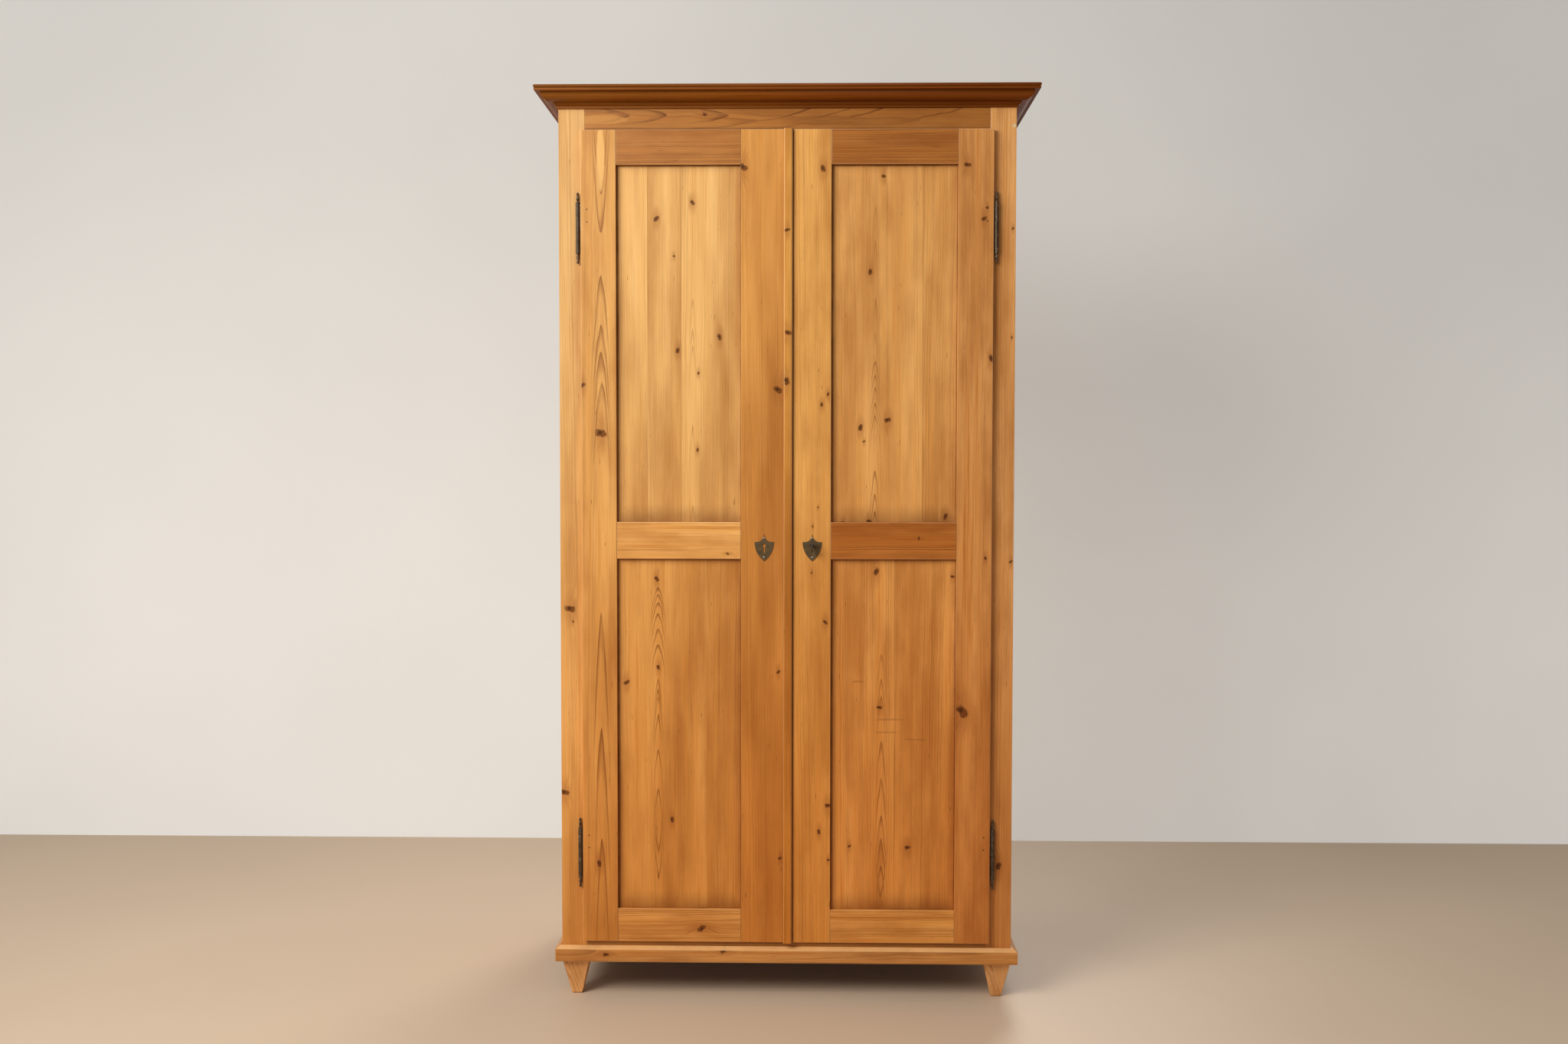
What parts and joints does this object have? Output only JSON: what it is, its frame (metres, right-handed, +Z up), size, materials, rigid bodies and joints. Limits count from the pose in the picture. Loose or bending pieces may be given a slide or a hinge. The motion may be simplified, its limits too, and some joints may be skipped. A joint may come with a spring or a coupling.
{
  "type": "wardrobe",
  "caption": "Free-standing pine wardrobe with moulded cornice and plinth, tapered feet, hinged frame-and-panel doors with a key lock, and a hat shelf and clothes rail inside.",
  "frame": {"origin": "on the floor, under the middle of the overall box", "axes": "+Z up, the doors face -Y, +X to the right when facing the doors"},
  "size_m": [1.034, 0.544, 1.9],
  "materials": {
    "pine": "aged pine, waxed, satin",
    "door_pine": "aged pine, waxed, satin",
    "panel_pine": "aged pine, waxed, satin",
    "inside_pine": "aged pine, bare",
    "peg_wood": "pale hardwood peg",
    "hinge_iron": "dark iron, rubbed bright in places",
    "escutcheon_brass": "aged brass, dark patina",
    "pin_steel": "worn bright heads",
    "lock_iron": "dull dark iron"
  },
  "bodies": {
    "carcase": {"left_side": "pine", "right_side": "pine", "top_board": "pine", "frame_left_stile": "pine", "frame_right_stile": "pine", "frame_top_rail": "pine", "frame_bottom_rail": "pine", "cornice_front": "pine", "cornice_left": "pine", "cornice_right": "pine", "plinth_front": "pine", "plinth_left": "pine", "plinth_right": "pine", "foot_front_left": "pine", "foot_front_right": "pine", "foot_back_left": "pine", "foot_back_right": "pine", "bottom_board": "inside_pine", "back_boards": "inside_pine", "hat_shelf": "inside_pine", "shelf_cleats": "inside_pine", "clothes_rail": "inside_pine", "rail_sockets": "inside_pine", "frame_peg": "peg_wood", "upper_left_hinge_frame_leaf": "hinge_iron", "lower_left_hinge_frame_leaf": "hinge_iron", "upper_right_hinge_frame_leaf": "hinge_iron", "lower_right_hinge_frame_leaf": "hinge_iron", "hinge_pins": "hinge_iron"},
    "left_door": {"left_hinge_stile": "door_pine", "left_meeting_stile": "door_pine", "left_top_rail": "door_pine", "left_lock_rail": "door_pine", "left_bottom_rail": "door_pine", "left_upper_panel": "panel_pine", "left_lower_panel": "panel_pine", "left_escutcheon": "escutcheon_brass", "left_door_nails": "pin_steel", "upper_left_hinge_door_leaf": "hinge_iron", "lower_left_hinge_door_leaf": "hinge_iron", "meeting_strip": "pine", "lock_keeper": "lock_iron", "bolt_plates": "lock_iron"},
    "right_door": {"right_hinge_stile": "door_pine", "right_meeting_stile": "door_pine", "right_top_rail": "door_pine", "right_lock_rail": "door_pine", "right_bottom_rail": "door_pine", "right_upper_panel": "panel_pine", "right_lower_panel": "panel_pine", "right_escutcheon": "escutcheon_brass", "right_door_nails": "pin_steel", "upper_right_hinge_door_leaf": "hinge_iron", "lower_right_hinge_door_leaf": "hinge_iron", "lock_case": "lock_iron"},
    "lock_bolt": {"lock_bolt": "lock_iron"},
    "key": {"key": "lock_iron"},
    "top_bolt": {"left_top_bolt": "lock_iron"},
    "bottom_bolt": {"left_bottom_bolt": "lock_iron"}
  },
  "joints": [
    {"name": "left_door_hinge", "type": "hinge", "parent": "carcase", "child": "left_door", "pos_m": [-0.4325, -0.234, 0], "axis": [0, 0, -1], "range_deg": [0, 170]},
    {"name": "right_door_hinge", "type": "hinge", "parent": "carcase", "child": "right_door", "pos_m": [0.4325, -0.234, 0], "axis": [0, 0, 1], "range_deg": [0, 170]},
    {"name": "key_turn", "type": "hinge", "parent": "right_door", "child": "key", "pos_m": [0.054, -0.24, 0.957], "axis": [0, -1, 0], "range_deg": [0, 360]},
    {"name": "lock_bolt_slide", "type": "slide", "parent": "right_door", "child": "lock_bolt", "axis": [-1, 0, 0], "range_m": [0, 0.014]},
    {"name": "top_bolt_slide", "type": "slide", "parent": "left_door", "child": "top_bolt", "axis": [0, 0, 1], "range_m": [0, 0.014]},
    {"name": "bottom_bolt_slide", "type": "slide", "parent": "left_door", "child": "bottom_bolt", "axis": [0, 0, -1], "range_m": [0, 0.014]}
  ],
  "couplings": [
    {"joint": "key_turn", "follows": "lock_bolt_slide", "rad_per_m": 448.8}
  ]
}
